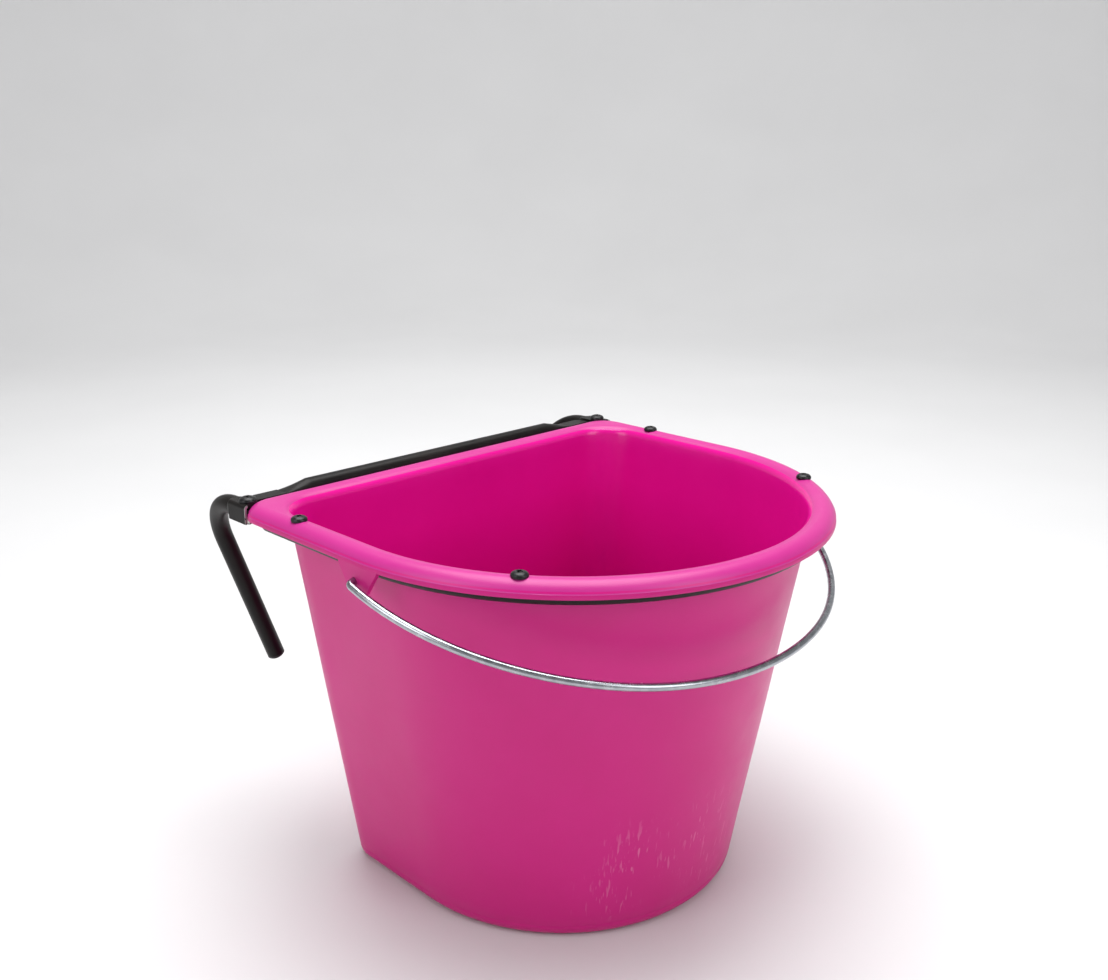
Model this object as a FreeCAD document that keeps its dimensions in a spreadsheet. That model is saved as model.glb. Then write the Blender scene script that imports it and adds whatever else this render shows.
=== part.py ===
import FreeCAD, Part
import math
import os
import Sketcher
from FreeCAD import Placement, Rotation, Vector

# Hanging feed bucket: a D-shaped plastic bucket in a black steel carrying frame, with two hooks
# at its flat back and a wire bail handle. Millimetres, +Z up, +Y towards the flat back.
# The origin is the centre of the base's underside, on the plane of symmetry x = 0.

# ---------------------------------------------------------------- driving dimensions
DIMS = {
    # rim: a D with straight sides, a half-round front and rounded rear corners
    "rim_half_width": 183.0,
    "rim_back_y": 146.0,
    "rim_centre_y": 11.0,
    "rim_corner_radius": 23.0,
    "rim_top_z": 274.0,
    "rim_roll_radius": 9.9,
    "rim_cap_thickness": 3.2,
    "rim_inner_round": 7.0,
    "skirt_bottom_z": 264.0,
    "skirt_wall": 3.0,
    "hollow_round": 6.0,
    # tapered walls, from the base up into the cap of the rim
    "base_half_width": 128.0,
    "base_back_y": 111.0,
    "base_centre_y": 17.0,
    "base_corner_radius": 22.0,
    "wall_top_z": 272.0,
    "wall_top_half_width": 167.5,
    "wall_top_back_y": 129.7,
    "wall_top_centre_y": 10.8,
    "wall_top_corner_radius": 34.5,
    "wall_thickness": 3.0,
    "base_thickness": 3.2,
    "base_outer_round": 7.0,
    "base_inner_round": 6.0,
    # bail lugs, which hang from the skirt
    "lug_centre_y": 9.5,
    "lug_top_width": 37.0,
    "lug_bottom_width": 16.0,
    "lug_bottom_z": 248.0,
    "lug_hole_diameter": 5.8,
    # bail handle
    "bail_pivot_y": 12.0,
    "bail_pivot_z": 254.2,
    "bail_wire_diameter": 5.0,
    "bail_half_width": 187.6,
    "bail_height": 187.0,
    "bail_leg_length": 7.5,
    "bail_shoulder_radius": 178.0,
    "bail_end_radius": 4.2,
    "bail_end_x": 175.0,
    "bail_head_diameter": 7.0,
    "bail_head_length": 2.0,
    "bail_rest_tilt": 16.0,
    # U-shaped hoop under the rim
    "hoop_half_width": 173.0,
    "hoop_centre_y": 11.0,
    "hoop_z": 264.25,
    "hoop_diameter": 12.7,
    "hoop_wall": 1.5,
    "hoop_round_end_y": 118.0,
    "tongue_thickness": 3.0,
    "tongue_half_width": 6.2,
    "hoop_tongue_bottom_z": 265.5,
    # rail behind the rim
    "rail_y": 154.0,
    "rail_z": 270.0,
    "rail_diameter": 13.0,
    "rail_wall": 1.5,
    "rail_round_half_length": 119.0,
    "rail_flat_half_length": 141.0,
    "rail_tongue_bottom_z": 268.5,
    "rail_tongue_front_y": 147.0,
    "rail_tongue_back_y": 159.0,
    "rail_tongue_front_x": 164.0,
    "rail_tongue_back_x": 160.0,
    "rail_vent_diameter": 4.0,
    # hooks
    "hook_x": 173.0,
    "hook_z": 266.5,
    "hook_diameter": 13.0,
    "hook_wall": 1.5,
    "hook_press_length": 4.5,
    "hook_bend_start_y": 162.0,
    "hook_bend_radius": 39.5,
    "hook_leg_length": 106.0,
    "hook_lean": 19.2,
    "hook_flange_front_y": 135.5,
    "hook_plate_front_y": 137.8,
    "hook_flange_back_y": 156.5,
    "hook_plate_inner_x": 166.5,
    "hook_flange_outer_x": 181.0,
    "hook_flange_bottom_z": 260.0,
    "hook_edge_round": 2.4,
    # fasteners
    "corner_bolt_y": 144.0,
    "corner_bolt_diameter": 6.0,
    "corner_bolt_length": 16.0,
    "corner_head_diameter": 12.0,
    "corner_head_height": 3.8,
    "eye_radius": 5.6,
    "eye_recess_radius": 6.8,
    "tongue_recess_radius": 7.8,
    "washer_diameter": 11.8,
    "washer_thickness": 1.4,
    "nut_flats": 10.0,
    "nut_height": 5.0,
    "rim_screw_side_y": 83.0,
    "rim_screw_front_angle": 35.0,
    "rim_screw_diameter": 4.2,
    "rim_screw_length": 12.0,
    "rim_head_diameter": 10.8,
    "rim_head_height": 3.6,
    "rim_screw_hole": 5.4,
    "rim_screw_seat_diameter": 11.4,
    "rim_screw_seat_z": 273.5,
    "hoop_screw_hole": 4.5,
    "bolt_clearance": 0.2,
    "plug_head_length": 2.5,
    "plug_stem_length": 10.0,
    "plug_clearance": 0.1,
}

doc = FreeCAD.newDocument("feed_bucket")
sheet = doc.addObject("Spreadsheet::Sheet", "Dims")
for row, (alias, value) in enumerate(DIMS.items(), start=1):
    sheet.set(f"A{row}", alias)
    sheet.set(f"B{row}", str(value))
    sheet.setAlias(f"B{row}", alias)
doc.recompute()

LEFT, RIGHT = -1, 1
SIDES = {"left": LEFT, "right": RIGHT}

# where a round tube is divided before it is pressed flat, or pressed to a box, in degrees
FLAT_TURNS = [-35, 35, 145, 215, 325]
BOX_TURNS = [-30, 30, 60, 120, 150, 210, 240, 300, 330]


def dim(alias):
    """A driving dimension, read from the sheet."""
    return float(sheet.get(alias))


# ---------------------------------------------------------------- helpers
def new_body(label):
    """An empty body whose Label names its node and its file."""
    body = doc.addObject("PartDesign::Body", label)
    body.Label = label
    return body


def origin_plane(body, role):
    """One of the body's own origin planes."""
    for feature in body.Origin.OriginFeatures:
        if feature.Role == role:
            return feature
    raise ValueError(role)


def new_sketch(body, name, role="XY_Plane", offset=(0, 0, 0), turn=((0, 0, 1), 0), lift=None):
    """A sketch on an origin plane, moved and turned in that plane's own axes. lift is an
    expression for its distance from the plane."""
    sketch = body.newObject("Sketcher::SketchObject", name)
    sketch.AttachmentSupport = [(origin_plane(body, role), "")]
    sketch.MapMode = "FlatFace"
    sketch.AttachmentOffset = Placement(Vector(*offset), Rotation(Vector(*turn[0]), turn[1]))
    if lift:
        sketch.setExpression("AttachmentOffset.Base.z", lift)
    return sketch


def bind(sketch, kind, args, name, expression, value):
    """A named driving constraint whose value follows the sheet."""
    index = sketch.addConstraint(Sketcher.Constraint(kind, *args, value))
    sketch.renameConstraint(index, name)
    sketch.setExpression(f"Constraints.{name}", expression)


def add_circle(sketch, name, centre, diameter_expression, diameter):
    """A circle with its diameter bound to the sheet and its centre held."""
    circle = sketch.addGeometry(Part.Circle(Vector(*centre, 0), Vector(0, 0, 1), diameter / 2))
    bind(sketch, "Diameter", (circle,), name, diameter_expression, diameter)
    sketch.addConstraint(Sketcher.Constraint("DistanceX", -1, 1, circle, 3, centre[0]))
    sketch.addConstraint(Sketcher.Constraint("DistanceY", -1, 1, circle, 3, centre[1]))
    return circle


def add_closed(sketch, pieces):
    """A closed outline from pieces in order, end to start, held where they are."""
    edges = [sketch.addGeometry(piece) for piece in pieces]
    for index, edge in enumerate(edges):
        following = edges[(index + 1) % len(edges)]
        sketch.addConstraint(Sketcher.Constraint("Coincident", edge, 2, following, 1))
        sketch.addConstraint(Sketcher.Constraint("Block", edge))


def add_polygon(sketch, points):
    """A closed outline of straight edges, held where its corners are."""
    following = points[1:] + points[:1]
    add_closed(sketch, [Part.LineSegment(Vector(*a, 0), Vector(*b, 0)) for a, b in zip(points, following)])


def arc_piece(centre, radius, start, end):
    """An arc from its start to its end angle in degrees, counter-clockwise."""
    circle = Part.Circle(Vector(*centre, 0), Vector(0, 0, 1), radius)
    return Part.ArcOfCircle(circle, math.radians(start), math.radians(end))


def d_outline(sketch, half_width, back_y, centre_y, corner_radius, inset=None):
    """The D outline, drawn inset from the one that the four named dimensions give: back edge,
    rounded corner, straight side, the half-round front in two arcs, side and corner. Fully
    constrained."""
    shrink = dim(inset) if inset else 0.0
    shrink_text = f" - Dims.{inset}" if inset else ""
    radius = dim(half_width) - shrink
    back = dim(back_y) - shrink
    centre = dim(centre_y)
    corner = dim(corner_radius) - shrink
    corner_x, corner_y = radius - corner, back - corner
    up = Vector(0, 0, 1)
    circle_right = Part.Circle(Vector(corner_x, corner_y, 0), up, corner)
    circle_left = Part.Circle(Vector(-corner_x, corner_y, 0), up, corner)
    circle_front = Part.Circle(Vector(0, centre, 0), up, radius)
    geometry = [
        Part.LineSegment(Vector(corner_x, back, 0), Vector(-corner_x, back, 0)),
        Part.ArcOfCircle(circle_left, math.pi / 2, math.pi),
        Part.LineSegment(Vector(-radius, corner_y, 0), Vector(-radius, centre, 0)),
        Part.ArcOfCircle(circle_front, math.pi, 1.5 * math.pi),
        Part.ArcOfCircle(circle_front, 1.5 * math.pi, 2 * math.pi),
        Part.LineSegment(Vector(radius, centre, 0), Vector(radius, corner_y, 0)),
        Part.ArcOfCircle(circle_right, 0, math.pi / 2),
    ]
    order = [sketch.addGeometry(piece) for piece in geometry]
    back_edge, left_corner, left_side, front, _, right_side, right_corner = order
    for index, edge in enumerate(order):
        following = order[(index + 1) % len(order)]
        sketch.addConstraint(Sketcher.Constraint("Tangent", edge, 2, following, 1))
    sketch.addConstraint(Sketcher.Constraint("Horizontal", back_edge))
    sketch.addConstraint(Sketcher.Constraint("Vertical", left_side))
    sketch.addConstraint(Sketcher.Constraint("Vertical", right_side))
    sketch.addConstraint(Sketcher.Constraint("Equal", left_corner, right_corner))
    sketch.addConstraint(Sketcher.Constraint("PointOnObject", front, 3, -2))
    sketch.addConstraint(Sketcher.Constraint("PointOnObject", front, 2, -2))
    bind(sketch, "DistanceY", (-1, 1, front, 3), "centre", f"Dims.{centre_y}", centre)
    bind(sketch, "Radius", (front,), "front", f"Dims.{half_width}{shrink_text}", radius)
    bind(sketch, "Radius", (left_corner,), "corner", f"Dims.{corner_radius}{shrink_text}", corner)
    bind(sketch, "DistanceY", (-1, 1, back_edge, 1), "back", f"Dims.{back_y}{shrink_text}", back)


def pad(body, name, sketch, length, midplane=False, reverse=False):
    """A pad whose length is an expression."""
    feature = body.newObject("PartDesign::Pad", name)
    feature.Profile = sketch
    feature.Midplane = midplane
    feature.Reversed = reverse
    feature.setExpression("Length", length)
    return feature


def pocket(body, name, sketch, length=None, midplane=False, reverse=False):
    """A pocket of a given length expression, or through everything."""
    feature = body.newObject("PartDesign::Pocket", name)
    feature.Profile = sketch
    feature.Midplane = midplane
    feature.Reversed = reverse
    if length is None:
        feature.Type = "ThroughAll"
    else:
        feature.setExpression("Length", length)
    return feature


def loft(body, name, kind, first, last):
    """A straight-sided loft between two sketches. kind is Additive or Subtractive."""
    feature = body.newObject(f"PartDesign::{kind}Loft", name)
    feature.Profile = first
    feature.Sections = [last]
    feature.Ruled = True
    return feature


def pipe(body, name, kind, profile, spine):
    """A section swept along a path. kind is Additive or Subtractive."""
    feature = body.newObject(f"PartDesign::{kind}Pipe", name)
    feature.Profile = profile
    feature.Spine = (spine, [])
    return feature


def round_edges(body, name, base, radius, keep):
    """A fillet on the edges of base that the test keep picks."""
    doc.recompute()
    names = [f"Edge{index}" for index, edge in enumerate(base.Shape.Edges, start=1) if keep(edge)]
    if not names:
        raise ValueError(f"{name} found no edges")
    feature = body.newObject("PartDesign::Fillet", name)
    feature.Base = (base, names)
    feature.setExpression("Radius", radius)
    doc.recompute()
    return feature


def lies_at_height(edge, height, tolerance=0.01):
    """True when an edge lies flat at a height."""
    box = edge.BoundBox
    return abs(box.ZMin - height) < tolerance and abs(box.ZMax - height) < tolerance


def screw_places():
    """Where the four rim screws stand, on the hoop's centre line."""
    angle = math.radians(dim("rim_screw_front_angle"))
    front_x = dim("hoop_half_width") * math.cos(angle)
    front_y = dim("hoop_centre_y") - dim("hoop_half_width") * math.sin(angle)
    places = {}
    for side, sign in SIDES.items():
        places[f"{side}_side"] = (sign * dim("hoop_half_width"), dim("rim_screw_side_y"))
        places[f"{side}_front"] = (sign * front_x, front_y)
    return places


def wall_section(height):
    """Half width, back, centre and corner radius of the wall's outer face at a height."""
    part = height / dim("wall_top_z")
    pairs = [
        ("base_half_width", "wall_top_half_width"),
        ("base_back_y", "wall_top_back_y"),
        ("base_centre_y", "wall_top_centre_y"),
        ("base_corner_radius", "wall_top_corner_radius"),
    ]
    return [dim(low) + part * (dim(high) - dim(low)) for low, high in pairs]


# ---------------------------------------------------------------- bucket
def derived_cells():
    """The cavity's two outlines, worked out in the sheet from the wall and its thickness."""
    names = ["half_width", "back_y", "centre_y", "corner_radius"]
    heights = {"cavity_low": dim("base_thickness"), "cavity_top": dim("rim_top_z")}
    row = len(DIMS) + 1
    for prefix, height in heights.items():
        for name, outer in zip(names, wall_section(height)):
            value = outer if name == "centre_y" else outer - dim("wall_thickness")
            alias = f"{prefix}_{name}"
            DIMS[alias] = value
            sheet.set(f"A{row}", alias)
            sheet.set(f"B{row}", str(round(value, 4)))
            sheet.setAlias(f"B{row}", alias)
            row += 1
    doc.recompute()


def make_bucket_shell():
    """One moulding: rolled rim with its skirt and lugs, tapered walls and base."""
    body = new_body("bucket_shell")
    rim = ("rim_half_width", "rim_back_y", "rim_centre_y", "rim_corner_radius")

    outer = new_sketch(body, "rim_outline", lift="Dims.lug_bottom_z")
    d_outline(outer, *rim)
    block = pad(body, "rim_block", outer, "Dims.rim_top_z - Dims.lug_bottom_z")
    top = dim("rim_top_z")
    round_edges(body, "rim_roll", block, "Dims.rim_roll_radius", lambda e: lies_at_height(e, top))

    inner = new_sketch(body, "hollow_outline", lift="Dims.lug_bottom_z")
    d_outline(inner, *rim, inset="skirt_wall")
    depth = "Dims.rim_top_z - Dims.rim_cap_thickness - Dims.lug_bottom_z"
    hollow = pocket(body, "rim_hollow", inner, depth, reverse=True)
    under = top - dim("rim_cap_thickness")
    round_edges(body, "hollow_roll", hollow, "Dims.hollow_round", lambda e: lies_at_height(e, under))

    trim_skirt(body)

    low = new_sketch(body, "base_outline")
    d_outline(low, "base_half_width", "base_back_y", "base_centre_y", "base_corner_radius")
    high = new_sketch(body, "wall_top_outline", lift="Dims.wall_top_z")
    d_outline(
        high, "wall_top_half_width", "wall_top_back_y", "wall_top_centre_y", "wall_top_corner_radius"
    )
    walls = loft(body, "walls", "Additive", low, high)
    round_edges(body, "base_edge", walls, "Dims.base_outer_round", lambda e: lies_at_height(e, 0))

    outline_names = ("half_width", "back_y", "centre_y", "corner_radius")
    floor = new_sketch(body, "cavity_floor", lift="Dims.base_thickness")
    d_outline(floor, *[f"cavity_low_{name}" for name in outline_names])
    mouth = new_sketch(body, "cavity_mouth", lift="Dims.rim_top_z")
    d_outline(mouth, *[f"cavity_top_{name}" for name in outline_names])
    cavity = loft(body, "cavity", "Subtractive", floor, mouth)
    mouth_reach = dim("cavity_top_half_width") + 1

    def at_mouth(edge):
        return lies_at_height(edge, top) and abs(edge.BoundBox.XMax) < mouth_reach

    lip = round_edges(body, "mouth_edge", cavity, "Dims.rim_inner_round", at_mouth)
    floor_z = dim("base_thickness")
    round_edges(body, "floor_edge", lip, "Dims.base_inner_round", lambda e: lies_at_height(e, floor_z))

    cut_holes_in_rim(body)
    return body


def trim_skirt(body):
    """Cuts the skirt level all round, and leaves the two tapered lugs."""
    centre, bottom, level = dim("lug_centre_y"), dim("lug_bottom_z"), dim("skirt_bottom_z")
    wide, narrow = dim("lug_top_width") / 2, dim("lug_bottom_width") / 2
    beyond = dim("rim_half_width") + dim("rim_back_y")
    below = bottom - dim("skirt_wall")
    side_view = new_sketch(body, "skirt_line", "YZ_Plane")
    for way in (-1, 1):
        corners = [
            (centre + way * narrow, below),
            (centre + way * narrow, bottom),
            (centre + way * wide, level),
            (centre + way * beyond, level),
            (centre + way * beyond, below),
        ]
        add_polygon(side_view, corners)
    pocket(body, "skirt_trim", side_view, midplane=True)


def cut_holes_in_rim(body):
    """Screw holes in the cap, wire holes in the lugs, and the room for the frame's corners."""
    screws = new_sketch(body, "screw_holes", lift="Dims.rim_top_z")
    for name, place in screw_places().items():
        add_circle(screws, name, place, "Dims.rim_screw_hole", dim("rim_screw_hole"))
    pocket(body, "screw_hole_cut", screws, "Dims.rim_cap_thickness * 2")

    for side, sign in SIDES.items():
        reach = sign * (dim("rim_half_width") - 2 * dim("skirt_wall"))
        lug = new_sketch(body, f"lug_hole_{side}", "YZ_Plane", offset=(0, 0, reach))
        place = (dim("bail_pivot_y"), dim("bail_pivot_z"))
        add_circle(lug, "hole", place, "Dims.lug_hole_diameter", dim("lug_hole_diameter"))
        pocket(body, f"lug_hole_cut_{side}", lug, "Dims.skirt_wall * 3", reverse=sign == RIGHT)

    seats = new_sketch(body, "screw_seats", lift="Dims.rim_top_z")
    for name, place in screw_places().items():
        add_circle(seats, name, place, "Dims.rim_screw_seat_diameter", dim("rim_screw_seat_diameter"))
    pocket(body, "screw_seat_cut", seats, "Dims.rim_top_z - Dims.rim_screw_seat_z")

    slack = 0.6
    half = dim("tongue_half_width") + slack
    slot_front = dim("hoop_round_end_y") + slack
    slot = new_sketch(body, "corner_slots", lift="Dims.lug_bottom_z")
    recess = new_sketch(body, "tongue_recesses", lift="Dims.lug_bottom_z")
    eye = new_sketch(body, "eye_recesses", lift="Dims.rim_top_z")
    for side, sign in SIDES.items():
        bolt_x = sign * dim("hook_x")
        corners = [
            (bolt_x - half, slot_front),
            (bolt_x + half, slot_front),
            (bolt_x + half, dim("rim_back_y") + half),
            (bolt_x - half, dim("rim_back_y") + half),
        ]
        add_polygon(slot, corners)
        place = (bolt_x, dim("corner_bolt_y"))
        recess_text, eye_text = "2 * Dims.tongue_recess_radius", "2 * Dims.eye_recess_radius"
        add_circle(recess, side, place, recess_text, 2 * dim("tongue_recess_radius"))
        add_circle(eye, side, place, eye_text, 2 * dim("eye_recess_radius"))
    slot_height = "Dims.rail_tongue_bottom_z - Dims.lug_bottom_z + 0.6"
    pocket(body, "corner_slot_cut", slot, slot_height, reverse=True)
    recess_height = "Dims.rail_tongue_bottom_z + Dims.tongue_thickness - Dims.lug_bottom_z + 0.4"
    pocket(body, "tongue_recess_cut", recess, recess_height, reverse=True)
    pocket(body, "eye_recess_cut", eye, "Dims.rim_top_z - Dims.skirt_bottom_z")


# ---------------------------------------------------------------- steel frame
def flat_section(sketch, centre, half_width, half_height):
    """A flat bar section with half-round ends, as four edges, from the lower right."""
    middle_x, middle_y = centre
    straight = half_width - half_height
    top, bottom = middle_y + half_height, middle_y - half_height
    right_x, left_x = middle_x + straight, middle_x - straight
    pieces = [
        arc_piece((right_x, middle_y), half_height, -90, 90),
        Part.LineSegment(Vector(right_x, top, 0), Vector(left_x, top, 0)),
        arc_piece((left_x, middle_y), half_height, 90, 270),
        Part.LineSegment(Vector(left_x, bottom, 0), Vector(right_x, bottom, 0)),
    ]
    add_closed(sketch, pieces)


def box_section(sketch, low, high, corner):
    """A rectangle with rounded corners from its low to its high corner, in eight edges."""
    left, bottom = low
    right, top = high
    inner_left, inner_right = left + corner, right - corner
    inner_bottom, inner_top = bottom + corner, top - corner
    pieces = [
        Part.LineSegment(Vector(right, inner_bottom, 0), Vector(right, inner_top, 0)),
        arc_piece((inner_right, inner_top), corner, 0, 90),
        Part.LineSegment(Vector(inner_right, top, 0), Vector(inner_left, top, 0)),
        arc_piece((inner_left, inner_top), corner, 90, 180),
        Part.LineSegment(Vector(left, inner_top, 0), Vector(left, inner_bottom, 0)),
        arc_piece((inner_left, inner_bottom), corner, 180, 270),
        Part.LineSegment(Vector(inner_left, bottom, 0), Vector(inner_right, bottom, 0)),
        arc_piece((inner_right, inner_bottom), corner, 270, 360),
    ]
    add_closed(sketch, pieces)


def split_circle(sketch, centre, radius, turns):
    """A circle in arcs that start and end at the given angles in degrees."""
    add_closed(sketch, [arc_piece(centre, radius, start, end) for start, end in zip(turns, turns[1:])])


def flange_section(sketch, sign, flange_x, bottom, top, wall, fold):
    """The pressed end's outer flange with its rounded fold at the top, as one strip."""
    inner_x, fold_x = flange_x - sign * wall, flange_x - sign * fold
    start, turn = (0, 90) if sign == RIGHT else (90, 180)
    fold_z = top - fold
    outline = [
        arc_piece((fold_x, fold_z), fold, start, turn),
        Part.LineSegment(Vector(flange_x, fold_z, 0), Vector(flange_x, bottom, 0)),
        Part.LineSegment(Vector(flange_x, bottom, 0), Vector(inner_x, bottom, 0)),
        Part.LineSegment(Vector(inner_x, bottom, 0), Vector(inner_x, fold_z, 0)),
        arc_piece((fold_x, fold_z), fold - wall, start, turn),
        Part.LineSegment(Vector(fold_x, top - wall, 0), Vector(fold_x, top, 0)),
    ]
    for piece in outline:
        sketch.addConstraint(Sketcher.Constraint("Block", sketch.addGeometry(piece)))


def plate_outline(sketch, sign, inner_x, fold_x, front_y, back_y):
    """The pressed end's top plate in plan, with its inner front corner round the bolt."""
    eye = Vector(sign * dim("hook_x"), dim("corner_bolt_y"), 0)
    radius = eye.y - front_y
    side = Vector(eye.x - sign * radius, eye.y, 0)
    middle = eye + Vector(-sign, -1, 0).normalize() * radius
    front = Vector(eye.x, front_y, 0)
    corners = [front, Vector(fold_x, front_y, 0), Vector(fold_x, back_y, 0), Vector(inner_x, back_y, 0)]
    pieces = [Part.Arc(side, middle, front)]
    pieces += [Part.LineSegment(a, b) for a, b in zip(corners, corners[1:] + [side])]
    for piece in pieces:
        sketch.addConstraint(Sketcher.Constraint("Block", sketch.addGeometry(piece)))


def make_rim_hoop():
    """Steel tube bent to a U that lies in the rim, with both ends pressed flat and bolted."""
    body = new_body("rim_hoop")
    half, centre, end = dim("hoop_half_width"), dim("hoop_centre_y"), dim("hoop_round_end_y")
    path = new_sketch(body, "hoop_path", lift="Dims.hoop_z")
    arc = Part.ArcOfCircle(Part.Circle(Vector(0, centre, 0), Vector(0, 0, 1), half), math.pi, 2 * math.pi)
    left = path.addGeometry(Part.LineSegment(Vector(-half, end, 0), Vector(-half, centre, 0)))
    front = path.addGeometry(arc)
    right = path.addGeometry(Part.LineSegment(Vector(half, centre, 0), Vector(half, end, 0)))
    path.addConstraint(Sketcher.Constraint("Tangent", left, 2, front, 1))
    path.addConstraint(Sketcher.Constraint("Tangent", front, 2, right, 1))
    path.addConstraint(Sketcher.Constraint("Vertical", left))
    path.addConstraint(Sketcher.Constraint("Vertical", right))
    path.addConstraint(Sketcher.Constraint("PointOnObject", front, 3, -2))
    bind(path, "Radius", (front,), "bend", "Dims.hoop_half_width", half)
    bind(path, "DistanceY", (-1, 1, front, 3), "centre", "Dims.hoop_centre_y", centre)
    bind(path, "DistanceY", (-1, 1, left, 1), "left_end", "Dims.hoop_round_end_y", end)
    bind(path, "DistanceY", (-1, 1, right, 2), "right_end", "Dims.hoop_round_end_y", end)

    # The section plane faces -Y, so its own x runs along +X and its own y along +Z.
    start = (-half, dim("hoop_z"))
    wide = new_sketch(body, "hoop_section", "XZ_Plane", offset=(0, 0, -end))
    add_circle(wide, "outside", start, "Dims.hoop_diameter", dim("hoop_diameter"))
    pipe(body, "hoop_tube", "Additive", wide, path)

    flat_start, half_width = end + dim("hoop_diameter"), dim("tongue_half_width")
    flat_middle = dim("hoop_tongue_bottom_z") + dim("tongue_thickness") / 2
    for side, sign in SIDES.items():
        x = sign * half
        round_end = new_sketch(body, f"hoop_round_{side}", "XZ_Plane", offset=(0, 0, -end))
        split_circle(round_end, (x, dim("hoop_z")), dim("hoop_diameter") / 2, FLAT_TURNS)
        flat_end = new_sketch(body, f"hoop_flat_{side}", "XZ_Plane", offset=(0, 0, -flat_start))
        flat_section(flat_end, (x, flat_middle), half_width, dim("tongue_thickness") / 2)
        loft(body, f"hoop_press_{side}", "Additive", round_end, flat_end)
        tongue = new_sketch(body, f"hoop_tongue_{side}", lift="Dims.hoop_tongue_bottom_z")
        inner_x, outer_x = x - sign * half_width, x + sign * half_width
        turn_y = flat_start + dim("tongue_thickness")
        inner = ((inner_x, flat_start), (inner_x, turn_y))
        outer = ((outer_x, flat_start), (outer_x, turn_y))
        tongue_outline(tongue, outer, inner, (x, dim("corner_bolt_y")))
        pad(body, f"hoop_tongue_pad_{side}", tongue, "Dims.tongue_thickness")

    bore = new_sketch(body, "hoop_bore", "XZ_Plane", offset=(0, 0, -end))
    bore_text = "Dims.hoop_diameter - 2 * Dims.hoop_wall"
    add_circle(bore, "inside", start, bore_text, dim("hoop_diameter") - 2 * dim("hoop_wall"))
    pipe(body, "hoop_hollow", "Subtractive", bore, path)

    pilots = new_sketch(body, "hoop_pilots", lift="Dims.hoop_z + Dims.hoop_diameter / 2")
    for name, place in screw_places().items():
        add_circle(pilots, name, place, "Dims.hoop_screw_hole", dim("hoop_screw_hole"))
    pocket(body, "hoop_pilot_cut", pilots, "Dims.hoop_wall * 2")
    return body


def tongue_outline(sketch, front, back, eye):
    """A flat tongue in plan. front and back are each side's (root, corner) on the tongue; each
    corner joins the eye round the corner bolt in a line that touches it."""
    radius = dim("eye_radius")
    centre = Vector(*eye, 0)

    def touching(corner, way):
        reach = Vector(*corner, 0) - centre
        angle = math.atan2(reach.y, reach.x) + way * math.acos(radius / reach.Length)
        return centre + Vector(radius * math.cos(angle), radius * math.sin(angle), 0)

    sign = RIGHT if eye[0] > 0 else LEFT
    front_touch, back_touch = touching(front[1], sign), touching(back[1], -sign)
    root_middle = (Vector(*front[0], 0) + Vector(*back[0], 0)) * 0.5
    nose = centre + (centre - root_middle).normalize() * radius
    points = [Vector(*front[0], 0), Vector(*front[1], 0), front_touch]
    ends = [back_touch, Vector(*back[1], 0), Vector(*back[0], 0)]
    pieces = [Part.LineSegment(a, b) for a, b in zip(points, points[1:])]
    pieces.append(Part.Arc(front_touch, nose, back_touch))
    pieces += [Part.LineSegment(a, b) for a, b in zip(ends, ends[1:])]
    pieces.append(Part.LineSegment(ends[-1], points[0]))
    for piece in pieces:
        sketch.addConstraint(Sketcher.Constraint("Block", sketch.addGeometry(piece)))
    hole = dim("corner_bolt_diameter") + 2 * dim("bolt_clearance")
    add_circle(sketch, "bolt", eye, "Dims.corner_bolt_diameter + 2 * Dims.bolt_clearance", hole)


def make_back_rail():
    """Straight tube behind the rim, with both ends pressed flat and drawn forward to the bolts."""
    body = new_body("back_rail")
    place = (dim("rail_y"), dim("rail_z"))
    outside = new_sketch(body, "rail_section", "YZ_Plane")
    add_circle(outside, "outside", place, "Dims.rail_diameter", dim("rail_diameter"))
    pad(body, "rail_tube", outside, "2 * Dims.rail_round_half_length", midplane=True)

    flat_middle = dim("rail_tongue_bottom_z") + dim("tongue_thickness") / 2
    front_y, back_y = dim("rail_tongue_front_y"), dim("rail_tongue_back_y")
    middle_y, half_width = (front_y + back_y) / 2, (back_y - front_y) / 2
    for side, sign in SIDES.items():
        round_x, flat_x = sign * dim("rail_round_half_length"), sign * dim("rail_flat_half_length")
        round_end = new_sketch(body, f"rail_round_{side}", "YZ_Plane", offset=(0, 0, round_x))
        split_circle(round_end, place, dim("rail_diameter") / 2, FLAT_TURNS)
        flat_end = new_sketch(body, f"rail_flat_{side}", "YZ_Plane", offset=(0, 0, flat_x))
        flat_section(flat_end, (middle_y, flat_middle), half_width, dim("tongue_thickness") / 2)
        loft(body, f"rail_press_{side}", "Additive", round_end, flat_end)
        tongue = new_sketch(body, f"rail_tongue_{side}", lift="Dims.rail_tongue_bottom_z")
        front = ((flat_x, front_y), (sign * dim("rail_tongue_front_x"), front_y))
        back = ((flat_x, back_y), (sign * dim("rail_tongue_back_x"), back_y))
        tongue_outline(tongue, front, back, (sign * dim("hook_x"), dim("corner_bolt_y")))
        pad(body, f"rail_tongue_pad_{side}", tongue, "Dims.tongue_thickness")

    bore = new_sketch(body, "rail_bore", "YZ_Plane")
    bore_text = "Dims.rail_diameter - 2 * Dims.rail_wall"
    add_circle(bore, "inside", place, bore_text, dim("rail_diameter") - 2 * dim("rail_wall"))
    pocket(body, "rail_hollow", bore, "2 * Dims.rail_round_half_length", midplane=True)

    vent = new_sketch(body, "rail_vent", lift="Dims.rail_z - Dims.rail_diameter / 2")
    add_circle(vent, "vent", (0, dim("rail_y")), "Dims.rail_vent_diameter", dim("rail_vent_diameter"))
    pocket(body, "rail_vent_cut", vent, "2 * Dims.rail_wall", reverse=True)
    return body


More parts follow.
